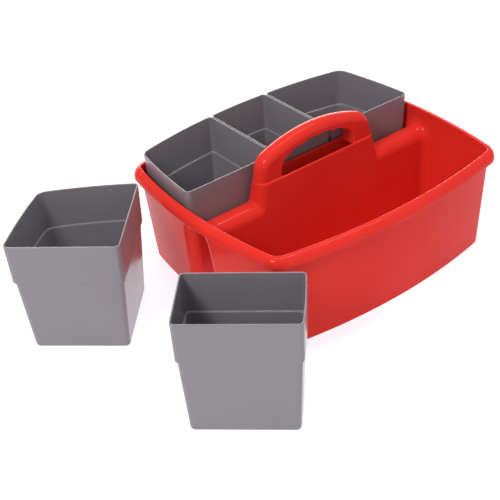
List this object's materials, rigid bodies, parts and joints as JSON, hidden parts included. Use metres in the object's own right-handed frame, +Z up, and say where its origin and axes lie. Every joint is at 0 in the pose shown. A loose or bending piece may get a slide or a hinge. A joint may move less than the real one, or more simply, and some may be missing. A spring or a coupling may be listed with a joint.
{
  "type": "art supply box",
  "caption": "Open two-part tub with bowed sides, a hollow centre divider and an arched grip, holding lift-out cups, with more cups standing beside it.",
  "frame": {"origin": "centre of the tub's footprint on the table, midway between its front and back halves; the loose cups stand on the same table to its left and front", "axes": "+X along the grip and the divider, to the right; -Y towards the bowed front; +Z up"},
  "size_m": [0.5035, 0.3641, 0.1592],
  "materials": {
    "red_plastic": "gloss",
    "grey_plastic": "satin gloss"
  },
  "bodies": {
    "tub": {"caddy": "red_plastic"},
    "left_cup": {"cup_back_left": "grey_plastic"},
    "centre_cup": {"cup_back_centre": "grey_plastic"},
    "right_cup": {"cup_back_right": "grey_plastic"},
    "loose_corner_cup": {"cup_loose_corner": "grey_plastic"},
    "loose_centre_cup": {"cup_loose_centre": "grey_plastic"}
  },
  "joints": [
    {"name": "left_cup_lift", "type": "slide", "parent": "tub", "child": "left_cup", "axis": [0, 0, 1], "range_m": [0, 0.15]},
    {"name": "centre_cup_lift", "type": "slide", "parent": "tub", "child": "centre_cup", "axis": [0, 0, 1], "range_m": [0, 0.15]},
    {"name": "right_cup_lift", "type": "slide", "parent": "tub", "child": "right_cup", "axis": [0, 0, 1], "range_m": [0, 0.15]},
    {"name": "loose_corner_cup_lift", "type": "slide", "parent": "tub", "child": "loose_corner_cup", "axis": [0, 0, 1], "range_m": [0, 0.15]},
    {"name": "loose_centre_cup_lift", "type": "slide", "parent": "tub", "child": "loose_centre_cup", "axis": [0, 0, 1], "range_m": [0, 0.15]}
  ]
}
